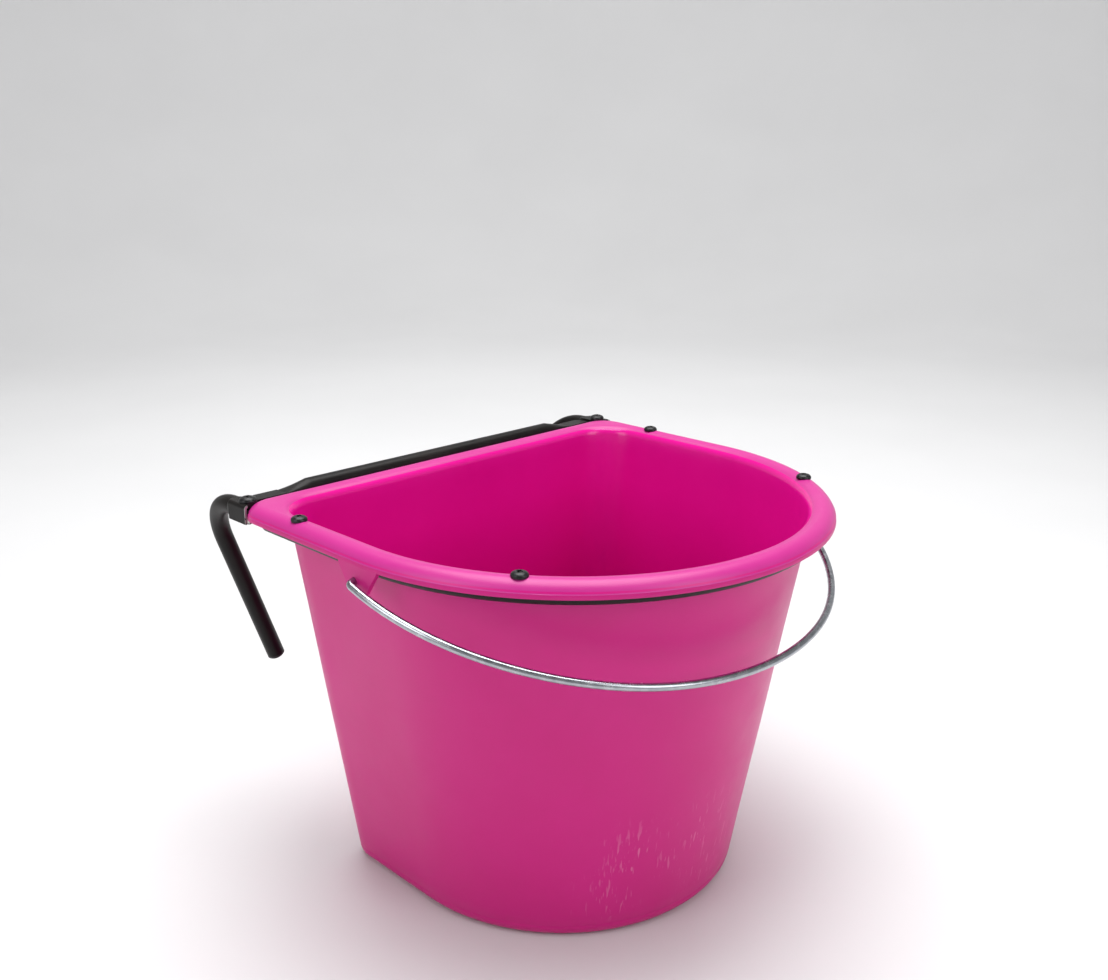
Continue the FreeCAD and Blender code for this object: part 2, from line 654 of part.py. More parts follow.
def hook_path(body, name, sign):
    """The hook's centre line: a short shank, one bend, and the leg that leans inwards."""
    start, radius = dim("hook_bend_start_y"), dim("hook_bend_radius")
    shank_start = dim("hook_flange_back_y") + dim("hook_press_length")
    leg_y = start + radius
    turn = ((1, 0, 0), sign * dim("hook_lean"))
    offset = (0, dim("hook_z"), sign * dim("hook_x"))
    path = new_sketch(body, name, "YZ_Plane", offset=offset, turn=turn)
    bend = Part.ArcOfCircle(Part.Circle(Vector(start, -radius, 0), Vector(0, 0, 1), radius), 0, math.pi / 2)
    leg_end = -radius - dim("hook_leg_length")
    leg = path.addGeometry(Part.LineSegment(Vector(leg_y, leg_end, 0), Vector(leg_y, -radius, 0)))
    arc = path.addGeometry(bend)
    shank = path.addGeometry(Part.LineSegment(Vector(start, 0, 0), Vector(shank_start, 0, 0)))
    path.addConstraint(Sketcher.Constraint("Tangent", leg, 2, arc, 1))
    path.addConstraint(Sketcher.Constraint("Tangent", arc, 2, shank, 1))
    path.addConstraint(Sketcher.Constraint("Vertical", leg))
    path.addConstraint(Sketcher.Constraint("PointOnObject", shank, 2, -1))
    path.addConstraint(Sketcher.Constraint("Horizontal", shank))
    bind(path, "Radius", (arc,), "bend", "Dims.hook_bend_radius", radius)
    bind(path, "DistanceY", (leg, 1, leg, 2), "leg", "Dims.hook_leg_length", dim("hook_leg_length"))
    bind(path, "DistanceX", (-1, 1, shank, 1), "start", "Dims.hook_bend_start_y", start)
    shank_text = "Dims.hook_flange_back_y + Dims.hook_press_length"
    bind(path, "DistanceX", (-1, 1, shank, 2), "shank", shank_text, shank_start)
    return path


def leg_frame(sign):
    """Point and direction of the leg's lower end: where the plug sits."""
    lean = math.radians(dim("hook_lean"))
    down = dim("hook_bend_radius") + dim("hook_leg_length")
    direction = Vector(-sign * math.sin(lean), 0, -math.cos(lean))
    top = Vector(sign * dim("hook_x"), dim("hook_bend_start_y") + dim("hook_bend_radius"), dim("hook_z"))
    return top + direction * down, direction


def make_hook(side):
    """Steel tube hook. Its front end is pressed open to a top plate and an outer flange."""
    sign = SIDES[side]
    body = new_body(f"hook_{side}")
    radius, wall = dim("hook_diameter") / 2, dim("hook_wall")
    path = hook_path(body, f"hook_path_{side}", sign)
    start_y = dim("hook_flange_back_y") + dim("hook_press_length")
    section = new_sketch(body, f"hook_section_{side}", "XZ_Plane", offset=(0, 0, -start_y))
    centre = (sign * dim("hook_x"), dim("hook_z"))
    add_circle(section, "outside", centre, "Dims.hook_diameter", dim("hook_diameter"))
    pipe(body, f"hook_tube_{side}", "Additive", section, path)

    # The press: the round tube turns into a box, and only its top and outer side go on.
    outer_x = sign * dim("hook_flange_outer_x")
    plate_x = sign * dim("hook_plate_inner_x")
    left_x, right_x = sorted([plate_x, outer_x])
    top_z, bottom_z = dim("hook_z") + radius, dim("hook_flange_bottom_z")
    back_y, fold = dim("hook_flange_back_y"), dim("hook_edge_round")
    round_end = new_sketch(body, f"hook_round_{side}", "XZ_Plane", offset=(0, 0, -start_y))
    split_circle(round_end, centre, radius, BOX_TURNS)
    box_end = new_sketch(body, f"hook_box_{side}", "XZ_Plane", offset=(0, 0, -back_y))
    box_section(box_end, (left_x, bottom_z), (right_x, top_z), fold)
    loft(body, f"hook_press_{side}", "Additive", round_end, box_end)

    plate = new_sketch(body, f"hook_plate_{side}", lift="Dims.hook_z + Dims.hook_diameter / 2")
    fold_x = outer_x - sign * fold
    plate_outline(plate, sign, plate_x, fold_x, dim("hook_plate_front_y"), back_y)
    pad(body, f"hook_plate_pad_{side}", plate, "Dims.hook_wall", reverse=True)
    flange = new_sketch(body, f"hook_flange_{side}", "XZ_Plane", offset=(0, 0, -back_y))
    flange_section(flange, sign, outer_x, bottom_z, top_z, wall, fold)
    flange_text = "Dims.hook_flange_back_y - Dims.hook_flange_front_y"
    pad(body, f"hook_flange_pad_{side}", flange, flange_text)

    bore = new_sketch(body, f"hook_bore_{side}", "XZ_Plane", offset=(0, 0, -start_y))
    bore_text = "Dims.hook_diameter - 2 * Dims.hook_wall"
    add_circle(bore, "inside", centre, bore_text, 2 * (radius - wall))
    pipe(body, f"hook_hollow_{side}", "Subtractive", bore, path)
    bore_end = new_sketch(body, f"hook_bore_round_{side}", "XZ_Plane", offset=(0, 0, -start_y))
    split_circle(bore_end, centre, radius - wall, BOX_TURNS)
    mouth = new_sketch(body, f"hook_bore_box_{side}", "XZ_Plane", offset=(0, 0, -back_y))
    box_section(mouth, (left_x + wall, bottom_z + wall), (right_x - wall, top_z - wall), fold - wall)
    loft(body, f"hook_press_hollow_{side}", "Subtractive", bore_end, mouth)

    hole = new_sketch(body, f"hook_bolt_{side}", lift="Dims.hook_z + Dims.hook_diameter / 2")
    hole_text = "Dims.corner_bolt_diameter + 2 * Dims.bolt_clearance"
    hole_size = dim("corner_bolt_diameter") + 2 * dim("bolt_clearance")
    add_circle(hole, "bolt", (sign * dim("hook_x"), dim("corner_bolt_y")), hole_text, hole_size)
    pocket(body, f"hook_bolt_cut_{side}", hole, "2 * Dims.hook_wall")
    return body


def make_hook_plug(side):
    """Plastic plug in the hook's cut end: a stem in the bore and a domed head."""
    sign = SIDES[side]
    body = new_body(f"hook_end_cap_{side}")
    head_radius = dim("hook_diameter") / 2
    stem_radius = head_radius - dim("hook_wall") - dim("plug_clearance")
    head, stem = dim("plug_head_length"), dim("plug_stem_length")
    profile = new_sketch(body, f"plug_profile_{side}", "XZ_Plane")
    edge = 1.0
    points = [
        (0, -stem),
        (stem_radius, -stem),
        (stem_radius, 0),
        (head_radius, 0),
        (head_radius, head - edge),
        (head_radius - edge, head),
        (0, head),
    ]
    add_polygon(profile, points)
    turned = body.newObject("PartDesign::Revolution", f"plug_turn_{side}")
    turned.Profile = profile
    turned.ReferenceAxis = (profile, ["V_Axis"])
    turned.Angle = 360.0
    end, direction = leg_frame(sign)
    body.Placement = Placement(end, Rotation(Vector(0, 0, 1), direction))
    return body


# ---------------------------------------------------------------- bail handle
def make_bail_handle():
    """Round wire bail in one plane: headed end, turn out of the lug, leg, shoulder and middle on
    the right, and the same mirrored on the left."""
    body = new_body("bail_handle")
    half, height = dim("bail_half_width"), dim("bail_height")
    leg, shoulder, turn_radius = dim("bail_leg_length"), dim("bail_shoulder_radius"), dim("bail_end_radius")
    end_x = dim("bail_end_x")
    shoulder_x = half - shoulder
    rise = height - leg
    middle_radius = (shoulder_x**2 + rise**2 - shoulder**2) / (2 * (rise - shoulder))
    middle_y = height - middle_radius
    join = math.atan2(leg - middle_y, shoulder_x)
    join_x = middle_radius * math.cos(join)
    join_y = middle_y + middle_radius * math.sin(join)

    def arc(start, via, end):
        return Part.Arc(Vector(*start, 0), Vector(*via, 0), Vector(*end, 0))

    def line(start, end):
        return Part.LineSegment(Vector(*start, 0), Vector(*end, 0))

    diagonal = turn_radius * math.sqrt(0.5)
    turn_x = half - turn_radius
    via = (turn_x + diagonal, turn_radius - diagonal)
    shoulder_via = (shoulder_x + shoulder * math.cos(join / 2), leg + shoulder * math.sin(join / 2))
    run = [
        line((end_x, 0), (turn_x, 0)),
        arc((turn_x, 0), via, (half, turn_radius)),
        line((half, turn_radius), (half, leg)),
        arc((half, leg), shoulder_via, (join_x, join_y)),
    ]
    offset = (0, dim("bail_pivot_y"), dim("bail_pivot_z"))
    path = new_sketch(body, "bail_path", offset=offset, turn=((1, 0, 0), 180 + dim("bail_rest_tilt")))
    pieces = run + [arc((join_x, join_y), (0, height), (-join_x, join_y))]
    for piece in reversed(run):
        copy = piece.copy()
        copy.mirror(Vector(0, 0, 0), Vector(0, 1, 0))
        pieces.append(copy)
    for piece in pieces:
        path.addConstraint(Sketcher.Constraint("Block", path.addGeometry(piece)))

    place = (dim("bail_pivot_y"), dim("bail_pivot_z"))
    section = new_sketch(body, "bail_section", "YZ_Plane", offset=(0, 0, end_x))
    add_circle(section, "wire", place, "Dims.bail_wire_diameter", dim("bail_wire_diameter"))
    pipe(body, "bail_wire", "Additive", section, path)
    for side, sign in SIDES.items():
        head = new_sketch(body, f"bail_head_{side}", "YZ_Plane", offset=(0, 0, sign * end_x))
        add_circle(head, "head", place, "Dims.bail_head_diameter", dim("bail_head_diameter"))
        pad(body, f"bail_head_pad_{side}", head, "Dims.bail_head_length", reverse=sign == LEFT)
    return body


# ---------------------------------------------------------------- fasteners
def pan_head_screw(label, place, seat_z, head, shank, tip):
    """A pan-head screw with a cross recess. head is (diameter, height) and shank is (diameter,
    length); tip is the length of its point."""
    body = new_body(label)
    head_radius, head_height = head[0] / 2, head[1]
    shank_radius, shank_length = shank[0] / 2, shank[1]
    profile = new_sketch(body, f"{label}_profile", "XZ_Plane")
    lip = head_height * 0.35
    shoulder = (head_radius * 0.72, head_height * 0.86)
    lines = [
        ((0, -shank_length), (shank_radius * 0.4, -shank_length)),
        ((shank_radius * 0.4, -shank_length), (shank_radius, -shank_length + tip)),
        ((shank_radius, -shank_length + tip), (shank_radius, 0)),
        ((shank_radius, 0), (head_radius, 0)),
        ((head_radius, 0), (head_radius, lip)),
        ((0, head_height), (0, -shank_length)),
    ]
    edges = [profile.addGeometry(Part.LineSegment(Vector(*a, 0), Vector(*b, 0))) for a, b in lines]
    dome = Part.Arc(Vector(head_radius, lip, 0), Vector(*shoulder, 0), Vector(0, head_height, 0))
    edges.insert(5, profile.addGeometry(dome))
    for edge in edges:
        profile.addConstraint(Sketcher.Constraint("Block", edge))
    turned = body.newObject("PartDesign::Revolution", f"{label}_turn")
    turned.Profile = profile
    turned.ReferenceAxis = (profile, ["V_Axis"])
    turned.Angle = 360.0
    cross = new_sketch(body, f"{label}_cross", lift=f"{head_height} mm")
    arm, half_slot = head_radius * 0.5, head_radius * 0.13
    corners = []
    for quarter in range(4):
        turn = Rotation(Vector(0, 0, 1), 90 * quarter)
        for point in ((arm, -half_slot), (arm, half_slot), (half_slot, half_slot)):
            turned_point = turn.multVec(Vector(*point, 0))
            corners.append((turned_point.x, turned_point.y))
    add_polygon(cross, corners)
    recess = pocket(body, f"{label}_recess", cross, f"{head_height * 0.55} mm")
    recess.TaperAngle = -12.0
    body.Placement = Placement(Vector(*place, seat_z), Rotation())
    return body


def make_rim_screws():
    """Four screws that hold the rim to the hoop."""
    head = (dim("rim_head_diameter"), dim("rim_head_height"))
    shank = (dim("rim_screw_diameter"), dim("rim_screw_length"))
    return [
        pan_head_screw(f"rim_screw_{name}", place, dim("rim_screw_seat_z"), head, shank, tip=2.5)
        for name, place in screw_places().items()
    ]


def make_corner_fasteners(side):
    """Bolt, washer and lock nut that hold hook, rail and hoop together."""
    sign = SIDES[side]
    place = (sign * dim("hook_x"), dim("corner_bolt_y"))
    seat = dim("hook_z") + dim("hook_diameter") / 2
    head = (dim("corner_head_diameter"), dim("corner_head_height"))
    shank = (dim("corner_bolt_diameter"), dim("corner_bolt_length"))
    bolt = pan_head_screw(f"corner_bolt_{side}", place, seat, head, shank, tip=0.8)

    washer_top = dim("hoop_tongue_bottom_z")
    washer = new_body(f"corner_washer_{side}")
    ring = new_sketch(washer, f"washer_ring_{side}")
    hole_text = "Dims.corner_bolt_diameter + 2 * Dims.bolt_clearance"
    hole_size = dim("corner_bolt_diameter") + 2 * dim("bolt_clearance")
    add_circle(ring, "outside", (0, 0), "Dims.washer_diameter", dim("washer_diameter"))
    add_circle(ring, "inside", (0, 0), hole_text, hole_size)
    pad(washer, f"washer_pad_{side}", ring, "Dims.washer_thickness", reverse=True)
    washer.Placement = Placement(Vector(*place, washer_top), Rotation())

    nut = new_body(f"corner_nut_{side}")
    hexagon = new_sketch(nut, f"nut_hexagon_{side}")
    circumradius = dim("nut_flats") / 2 / math.cos(math.pi / 6)
    corners = [
        (circumradius * math.cos(math.radians(60 * k)), circumradius * math.sin(math.radians(60 * k)))
        for k in range(6)
    ]
    add_polygon(hexagon, corners)
    bore = dim("corner_bolt_diameter") + 0.1
    add_circle(hexagon, "thread", (0, 0), "Dims.corner_bolt_diameter + 0.1", bore)
    pad(nut, f"nut_pad_{side}", hexagon, "Dims.nut_height", reverse=True)
    nut.Placement = Placement(Vector(*place, washer_top - dim("washer_thickness")), Rotation())
    return [bolt, washer, nut]


# ---------------------------------------------------------------- build, check and write
def check_document():
    """Stops when any object failed or any sub-part has no valid solid."""
    for item in doc.Objects:
        bad = [state for state in item.State if state in ("Invalid", "Error")]
        if bad:
            raise RuntimeError(f"{item.Label}: {item.State}")


def main():
    derived_cells()
    parts = [make_bucket_shell(), make_rim_hoop(), make_back_rail(), make_bail_handle()]
    for side in SIDES:
        parts += [make_hook(side), make_hook_plug(side)]
        parts += make_corner_fasteners(side)
    parts += make_rim_screws()
    doc.recompute()
    check_document()
    os.makedirs("parts", exist_ok=True)
    for part in parts:
        shape = part.Shape
        if shape.isNull() or not shape.isValid():
            raise RuntimeError(f"{part.Label} has no valid shape")
        shape.exportStep(f"parts/{part.Label}.step")
        box = shape.BoundBox
        heights = f"z {box.ZMin:.1f} to {box.ZMax:.1f}"
        print(f"{part.Label}: {len(shape.Solids)} solid, {shape.Volume:.0f} mm3, {heights}")


main()
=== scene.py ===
import math
import random

import bmesh
import bpy
from mathutils import Matrix, Vector, noise


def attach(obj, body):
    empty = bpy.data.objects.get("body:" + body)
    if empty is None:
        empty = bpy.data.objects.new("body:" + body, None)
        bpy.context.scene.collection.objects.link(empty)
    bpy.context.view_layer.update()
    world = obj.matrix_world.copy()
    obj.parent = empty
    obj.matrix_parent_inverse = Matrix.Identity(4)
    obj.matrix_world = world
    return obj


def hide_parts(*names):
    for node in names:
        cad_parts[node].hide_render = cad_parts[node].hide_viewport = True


# Feed bucket: the plastic shell, the bail, the screws and the bolts are built as detailed meshes in
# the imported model's frame. The steel frame, washers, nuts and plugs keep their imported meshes.
# Metres, +Z up, +Y towards the flat back.
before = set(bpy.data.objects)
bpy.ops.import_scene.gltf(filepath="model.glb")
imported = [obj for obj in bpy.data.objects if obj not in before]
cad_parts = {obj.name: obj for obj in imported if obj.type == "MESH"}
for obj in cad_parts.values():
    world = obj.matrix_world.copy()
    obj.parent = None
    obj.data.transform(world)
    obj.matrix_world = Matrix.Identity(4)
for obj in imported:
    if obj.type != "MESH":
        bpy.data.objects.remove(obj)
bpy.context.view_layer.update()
MM = 0.001
SIDES = {"left": -1, "right": 1}
rng = random.Random(7)

# ------------------------------------------------------------------ dimensions, in millimetres
RIM = (183.0, 146.0, 11.0, 23.0)  # half width, back, centre of the front arc, corner radius
BASE = (128.0, 111.0, 17.0, 22.0)
WALL_TOP = (167.5, 129.7, 10.8, 34.5)
WALL_TOP_Z = 272.0
WALL = 3.0
FLOOR_Z = 3.2
RIM_TOP_Z = 274.0
ROLL = 9.9
SKIRT_Z = 264.0
SKIRT_WALL = 3.0
CAP = 3.2  # the rim's top wall
OUTER_ROUND = 7.0  # base to walls, outside
INNER_ROUND = 6.0  # floor to walls, inside
LIP_ROUND = 7.0  # rim's top to the inside wall
HOLLOW_ROUND = 6.0  # the rim's hollow, below its top wall
WITNESS_Z = 9.5  # mould line on the wall just above the base
FLASH_Z = 267.15  # mould line on the rim's roll
LUG_Y = 9.5
LUG_X = 181.0
LUG_TOP_WIDTH = 37.0
LUG_BOTTOM_WIDTH = 16.0
LUG_LOW_Z = 248.0
LUG_HOLE_RADIUS = 2.65
LUG_EDGE_ROUND = 0.45
PIVOT = (12.0, 254.2)  # y, z
WIRE = 5.0
BAIL_TILT = 16.0  # degrees below the horizontal
BAIL_HALF_WIDTH = 187.6
BAIL_HEIGHT = 187.0
BAIL_LEG = 7.5
BAIL_SHOULDER = 178.0
BAIL_TURN = 4.2
BAIL_END_X = 174.2
BAIL_HEAD_X = 175.0
HOOP_X = 173.0
HOOP_CENTRE_Y = 11.0
SIDE_SCREW_Y = 83.0
FRONT_SCREW_ANGLE = 35.0
SCREW_SEAT_Z = 273.5
RIM_SCREW = {"head": 10.8, "height": 3.6, "shank": 4.2, "length": 12.0, "thread": 1.5}
BOLT_PLACE = (173.0, 144.0)
CORNER_BOLT = {"head": 12.0, "height": 3.8, "shank": 6.0, "length": 16.0, "thread": 1.0}
HOOK_TOP_Z = 273.0
HOOK_CUT_EDGE_Y = 0.1360  # metres: the pressed flange's front edge

# The shell's material slots: 0 walls, 1 rim, 2 inside. The rim's colour is the walls' pink painted
# darker and greyer, as painted shade and a painted sheen; the inside's is painted lighter, as
# painted light.
MATERIAL_OF_KIND = {"flash": 1, "flash_top": 1, "roll": 1, "land": 1, "inside": 2}


# ------------------------------------------------------------------ node helpers
def new_material(name):
    """A new node material, its tree and its principled shader."""
    material = bpy.data.materials.new(name)
    material.use_nodes = True
    tree = material.node_tree
    return material, tree, tree.nodes["Principled BSDF"]


def link(tree, a, b):
    """Joins output socket a to input socket b."""
    tree.links.new(a, b)


def object_coordinates(tree, scale=(1, 1, 1)):
    """Object coordinates, scaled."""
    coordinates = tree.nodes.new("ShaderNodeTexCoord")
    mapping = tree.nodes.new("ShaderNodeMapping")
    mapping.inputs["Scale"].default_value = scale
    link(tree, coordinates.outputs["Object"], mapping.inputs["Vector"])
    return mapping.outputs["Vector"]


def noise_node(tree, vector, scale, detail, roughness):
    """Procedural noise from 0 to 1 at a place."""
    node = tree.nodes.new("ShaderNodeTexNoise")
    node.inputs["Scale"].default_value = scale
    node.inputs["Detail"].default_value = detail
    node.inputs["Roughness"].default_value = roughness
    link(tree, vector, node.inputs["Vector"])
    return node.outputs["Fac"]


def ramp(tree, value, low, high, out_low=0.0, out_high=1.0):
    """value from low to high, mapped to out_low to out_high and clamped."""
    node = tree.nodes.new("ShaderNodeMapRange")
    node.inputs["From Min"].default_value = low
    node.inputs["From Max"].default_value = high
    node.inputs["To Min"].default_value = out_low
    node.inputs["To Max"].default_value = out_high
    link(tree, value, node.inputs["Value"])
    return node.outputs["Result"]


def math_node(tree, operation, a, b):
    """The result of a mathematical operation on two numbers or sockets."""
    node = tree.nodes.new("ShaderNodeMath")
    node.operation = operation
    for socket, value in zip(node.inputs, (a, b)):
        if isinstance(value, (int, float)):
            socket.default_value = value
        else:
            link(tree, value, socket)
    return node.outputs["Value"]


def mix_color(tree, factor, a, b):
    """a to b by factor. a and b are colours or sockets."""
    node = tree.nodes.new("ShaderNodeMix")
    node.data_type = "RGBA"
    link(tree, factor, node.inputs["Factor"])
    for name, value in (("A", a), ("B", b)):
        sockets = [s for s in node.inputs if s.name == name and s.type == "RGBA"]
        if isinstance(value, tuple):
            sockets[0].default_value = (*value, 1.0)
        else:
            link(tree, value, sockets[0])
    return [s for s in node.outputs if s.type == "RGBA"][0]


def bump(tree, shader, height, distance, strength):
    """Gives shader a bump of that height, over a distance in metres."""
    node = tree.nodes.new("ShaderNodeBump")
    node.inputs["Distance"].default_value = distance
    node.inputs["Strength"].default_value = strength
    link(tree, height, node.inputs["Height"])
    link(tree, node.outputs["Normal"], shader.inputs["Normal"])


def separate(tree, vector):
    """The x, y and z of a vector socket."""
    node = tree.nodes.new("ShaderNodeSeparateXYZ")
    link(tree, vector, node.inputs["Vector"])
    return node.outputs


# ------------------------------------------------------------------ materials
SCUFF_COLOR = (0.80, 0.25, 0.45)
SHADE_START_Z, SHADE_FULL_Z = 0.23, 0.13  # metres: where the painted shade deep in the bucket comes in on the way down
COAT_COLORS = ((0.0040, 0.0032, 0.0030), (0.0085, 0.0066, 0.0058))


def scuff_mask(tree, place):
    """Thin upright strokes in patches, and finer ones among them, low down on the front."""
    x, y, z = separate(tree, place)
    long_strokes = noise_node(tree, object_coordinates(tree, (430, 430, 7)), 1.0, 1.0, 0.5)
    short_strokes = noise_node(tree, object_coordinates(tree, (760, 760, 60)), 1.0, 2.0, 0.5)
    patches = ramp(tree, noise_node(tree, place, 17.0, 2.0, 0.5), 0.38, 0.50)
    specks = ramp(tree, noise_node(tree, place, 34.0, 2.0, 0.5), 0.48, 0.60)
    strokes = math_node(tree, "MULTIPLY", ramp(tree, long_strokes, 0.64, 0.69), patches)
    marks = math_node(tree, "MULTIPLY", ramp(tree, short_strokes, 0.62, 0.70), specks)
    both = math_node(tree, "MAXIMUM", strokes, math_node(tree, "MULTIPLY", marks, 0.7))
    low = math_node(tree, "MULTIPLY", ramp(tree, z, 0.098, 0.070), ramp(tree, z, 0.010, 0.024))
    front = math_node(tree, "MULTIPLY", ramp(tree, y, 0.02, -0.03), ramp(tree, x, -0.095, -0.060))
    return math_node(tree, "MULTIPLY", both, math_node(tree, "MULTIPLY", low, front))


def plastic_material(name, dark, light, rough_low, rough_high, painted_deep_shade=None, scuffs=False):
    """Pink moulded polyethylene with a fine orange-peel and a cloudy tint. The deep colour, where
    given, is a painted shade that it goes over to further down; scuffs are rubs low down on the
    front."""
    material, tree, shader = new_material(name)
    place = object_coordinates(tree)
    clouds = noise_node(tree, place, 9.0, 4.0, 0.6)
    base = mix_color(tree, ramp(tree, clouds, 0.3, 0.7), dark, light)
    if painted_deep_shade:
        z = separate(tree, place)[2]
        # painted shade: the colour goes darker further down inside the bucket
        base = mix_color(tree, ramp(tree, z, SHADE_START_Z, SHADE_FULL_Z), base, painted_deep_shade)
    shader.inputs["Specular IOR Level"].default_value = 0.42
    fine = noise_node(tree, place, 900.0, 2.0, 0.5)
    smear = noise_node(tree, place, 30.0, 3.0, 0.6)
    wavy = noise_node(tree, place, 26.0, 1.0, 0.4)
    rough = ramp(tree, smear, 0.3, 0.7, rough_low, rough_high)
    peel, waves = math_node(tree, "MULTIPLY", fine, 0.08), math_node(tree, "MULTIPLY", wavy, 0.5)
    height = math_node(tree, "ADD", peel, waves)
    if scuffs:
        mask = scuff_mask(tree, place)
        base = mix_color(tree, math_node(tree, "MULTIPLY", mask, 0.5), base, SCUFF_COLOR)
        rough = math_node(tree, "ADD", rough, math_node(tree, "MULTIPLY", mask, 0.2))
        height = math_node(tree, "SUBTRACT", height, math_node(tree, "MULTIPLY", mask, 0.3))
    link(tree, base, shader.inputs["Base Color"])
    link(tree, rough, shader.inputs["Roughness"])
    bump(tree, shader, height, 0.0003, 0.5)
    return material


def coated_steel_material(name, highlight_edge_y=None):
    """Satin black powder coat with its fine texture. In front of the given y, on a pressed flange's
    cut edge, a bright metallic steel colour is painted in patches as a painted highlight."""
    material, tree, shader = new_material(name)
    place = object_coordinates(tree)
    clouds = noise_node(tree, place, 22.0, 3.0, 0.6)
    color = mix_color(tree, ramp(tree, clouds, 0.35, 0.7), *COAT_COLORS)
    rough = ramp(tree, clouds, 0.3, 0.7, 0.36, 0.46)
    if highlight_edge_y is not None:
        # painted highlight: bright metallic patches along the flange's cut edge
        y = separate(tree, place)[1]
        patchiness = noise_node(tree, place, 500.0, 3.0, 0.6)
        edge = ramp(tree, y, highlight_edge_y + 0.0003, highlight_edge_y)
        edge_highlight = math_node(tree, "MULTIPLY", edge, ramp(tree, patchiness, 0.30, 0.48))
        color = mix_color(tree, edge_highlight, color, (0.42, 0.42, 0.41))
        link(tree, math_node(tree, "MULTIPLY", edge_highlight, 0.8), shader.inputs["Metallic"])
    link(tree, color, shader.inputs["Base Color"])
    link(tree, rough, shader.inputs["Roughness"])
    shader.inputs["Specular IOR Level"].default_value = 0.22
    grain = noise_node(tree, place, 1500.0, 2.0, 0.6)
    bump(tree, shader, grain, 0.0002, 0.35)
    return material


def wire_material():
    """Bright galvanised wire: a faint fine bump and a cloudy zinc bloom."""
    material, tree, shader = new_material("bright_zinc_wire")
    place = object_coordinates(tree)
    bloom = noise_node(tree, place, 160.0, 3.0, 0.6)
    cloudy = ramp(tree, bloom, 0.3, 0.75)
    color = mix_color(tree, cloudy, (0.36, 0.385, 0.42), (0.52, 0.54, 0.57))
    link(tree, color, shader.inputs["Base Color"])
    shader.inputs["Metallic"].default_value = 1.0
    link(tree, ramp(tree, bloom, 0.3, 0.7, 0.20, 0.30), shader.inputs["Roughness"])
    spots = noise_node(tree, place, 700.0, 2.0, 0.5)
    bump(tree, shader, spots, 0.0001, 0.06)
    return material


def zinc_material():
    """Zinc plating on washers and nuts."""
    material, tree, shader = new_material("zinc_hardware")
    place = object_coordinates(tree)
    bloom = noise_node(tree, place, 300.0, 3.0, 0.6)
    color = mix_color(tree, bloom, (0.48, 0.48, 0.45), (0.68, 0.67, 0.63))
    link(tree, color, shader.inputs["Base Color"])
    shader.inputs["Metallic"].default_value = 1.0
    link(tree, ramp(tree, bloom, 0.3, 0.7, 0.28, 0.42), shader.inputs["Roughness"])
    return material


def screw_material():
    """Black phosphated screw, worn a little brighter in its high spots."""
    material, tree, shader = new_material("black_screw")
    place = object_coordinates(tree)
    spots = noise_node(tree, place, 420.0, 3.0, 0.6)
    patchiness = ramp(tree, spots, 0.45, 0.75)
    color = mix_color(tree, patchiness, (0.010, 0.010, 0.011), (0.04, 0.04, 0.042))
    link(tree, color, shader.inputs["Base Color"])
    shader.inputs["Metallic"].default_value = 0.4
    link(tree, ramp(tree, spots, 0.3, 0.7, 0.28, 0.42), shader.inputs["Roughness"])
    return material


def plug_material():
    """Black moulded plug."""
    material, tree, shader = new_material("black_plug")
    place = object_coordinates(tree)
    spots = noise_node(tree, place, 250.0, 3.0, 0.6)
    color = mix_color(tree, spots, (0.010, 0.010, 0.010), (0.018, 0.017, 0.017))
    link(tree, color, shader.inputs["Base Color"])
    link(tree, ramp(tree, spots, 0.3, 0.7, 0.48, 0.6), shader.inputs["Roughness"])
    return material


# ------------------------------------------------------------------ mesh helpers
def finish_mesh(mesh_data, name, material, smooth_angle=35.0):
    """An object from a bmesh, smooth shaded with sharp edges kept."""
    mesh = bpy.data.meshes.new(name)
    bmesh.ops.recalc_face_normals(mesh_data, faces=mesh_data.faces)
    limit = math.radians(smooth_angle)
    for edge in mesh_data.edges:
        if len(edge.link_faces) == 2 and edge.calc_face_angle(0.0) > limit:
            edge.smooth = False
    for face in mesh_data.faces:
        face.smooth = True
    mesh_data.to_mesh(mesh)
    mesh_data.free()
    mesh.materials.append(material)
    obj = bpy.data.objects.new(name, mesh)
    bpy.context.scene.collection.objects.link(obj)
    return obj


def d_outline(half, back, centre, corner, counts=(24, 10, 26, 96)):
    """Points round the D outline, from the back's right end over the back, the left corner, the
    left side, the front and the right side to the right corner."""
    back_count, corner_count, side_count, front_count = counts
    cx, cy = half - corner, back - corner
    points = []
    for k in range(back_count):
        points.append((cx - 2 * cx * k / back_count, back))
    for k in range(corner_count):
        a = math.radians(90 + 90 * k / corner_count)
        points.append((-cx + corner * math.cos(a), cy + corner * math.sin(a)))
    for k in range(side_count):
        points.append((-half, cy + (centre - cy) * k / side_count))
    for k in range(front_count):
        a = math.pi + math.pi * k / front_count
        points.append((half * math.cos(a), centre + half * math.sin(a)))
    for k in range(side_count):
        points.append((half, centre + (cy - centre) * k / side_count))
    for k in range(corner_count):
        a = math.radians(90 * k / corner_count)
        points.append((cx + corner * math.cos(a), cy + corner * math.sin(a)))
    return points


def inset(outline, amount):
    """The outline set in by amount all round."""
    half, back, centre, corner = outline
    return (half - amount, back - amount, centre, max(corner - amount, 0.5))


def blend_outline(a, b, t):
    """The outline at share t of the way from a to b."""
    return tuple(p + (q - p) * t for p, q in zip(a, b))


def wall_at(z, amount=0.0):
    """The wall's outline at a height, set in from its outer face."""
    return inset(blend_outline(BASE, WALL_TOP, z / WALL_TOP_Z), amount)


